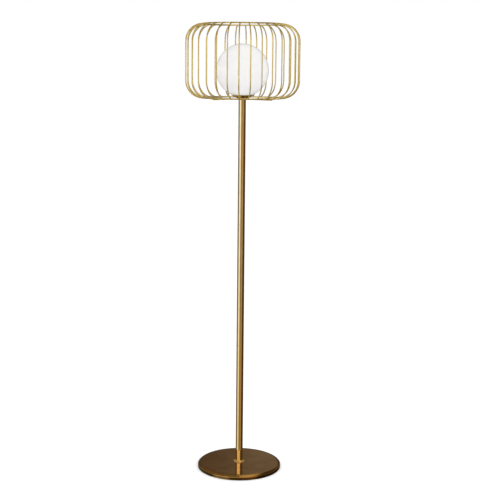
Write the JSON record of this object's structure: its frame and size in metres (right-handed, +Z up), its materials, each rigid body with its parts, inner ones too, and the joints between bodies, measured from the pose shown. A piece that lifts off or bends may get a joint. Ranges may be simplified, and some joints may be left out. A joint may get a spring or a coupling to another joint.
{
  "type": "wire cage floor lamp",
  "caption": "Floor lamp with an opal glass globe in an open cage of bent brass wires, on a slim screwed pole and a round weighted foot.",
  "frame": {"origin": "on the floor under the middle of the round foot", "axes": "+Z up the pole, +Y to the back where the cord comes in, -Y to the front"},
  "size_m": [0.3892, 0.3892, 1.56],
  "materials": {
    "felt": "pressed felt",
    "iron": "rough casting, black primer",
    "bronze_cover": "polished, dark bronze-brown lacquer",
    "rubber": "matt",
    "polished_brass": "polished, clear lacquer",
    "zinc_steel": "zinc plated",
    "cage_brass": "bright brass plating on wire",
    "opal_glass": "glossy white opal",
    "black_phenolic": "moulded, satin",
    "porcelain": "glazed white",
    "contact_brass": "bright pressed sheet",
    "solder_tip": "dull solder",
    "black_glass": "glossy black",
    "nickel_cap": "nickel plated, pressed thread",
    "bulb_glass": "opal",
    "lead_sheath": "flat twin sheath"
  },
  "bodies": {
    "lamp": {"base_pad": "felt", "base_weight": "iron", "base_cover": "bronze_cover", "cable_grommet": "rubber", "base_collar": "polished_brass", "base_nipple": "zinc_steel", "base_washer": "zinc_steel", "lock_nuts": "zinc_steel", "pole_bushes": "zinc_steel", "joint_nipples": "zinc_steel", "cage_spider": "cage_brass", "cage_bottom_ring": "cage_brass", "cage_top_ring": "cage_brass", "glass_dish": "polished_brass", "lampholder_cap": "black_phenolic", "lampholder_core": "porcelain", "lampholder_socket": "contact_brass", "lampholder_contact": "contact_brass", "lampholder_shell": "black_phenolic", "supply_lead": "lead_sheath", "pole_lower": "polished_brass", "pole_middle": "polished_brass", "pole_upper": "polished_brass", "cage_wire_01": "cage_brass", "cage_wire_02": "cage_brass", "cage_wire_03": "cage_brass", "cage_wire_04": "cage_brass", "cage_wire_05": "cage_brass", "cage_wire_06": "cage_brass", "cage_wire_07": "cage_brass", "cage_wire_08": "cage_brass", "cage_wire_09": "cage_brass", "cage_wire_10": "cage_brass", "cage_wire_11": "cage_brass", "cage_wire_12": "cage_brass", "cage_wire_13": "cage_brass", "cage_wire_14": "cage_brass", "cage_wire_15": "cage_brass", "cage_wire_16": "cage_brass", "cage_wire_17": "cage_brass", "cage_wire_18": "cage_brass", "cage_wire_19": "cage_brass", "cage_wire_20": "cage_brass", "cage_wire_21": "cage_brass", "cage_wire_22": "cage_brass", "cage_wire_23": "cage_brass", "cage_wire_24": "cage_brass", "cage_wire_25": "cage_brass", "cage_wire_26": "cage_brass", "cage_wire_27": "cage_brass", "cage_wire_28": "cage_brass", "cage_wire_29": "cage_brass", "cage_wire_30": "cage_brass", "cage_wire_31": "cage_brass", "cage_wire_32": "cage_brass"},
    "globe": {"globe": "opal_glass"},
    "bulb": {"bulb_contact": "solder_tip", "bulb_insulator": "black_glass", "bulb_cap": "nickel_cap", "bulb_glass": "bulb_glass"}
  },
  "joints": [
    {"name": "globe_lift", "type": "slide", "parent": "lamp", "child": "globe", "axis": [0, 0, 1], "range_m": [0, 0.25]},
    {"name": "bulb_unscrew", "type": "slide", "parent": "lamp", "child": "bulb", "axis": [0, 0, 1], "range_m": [0, 0.028]}
  ]
}
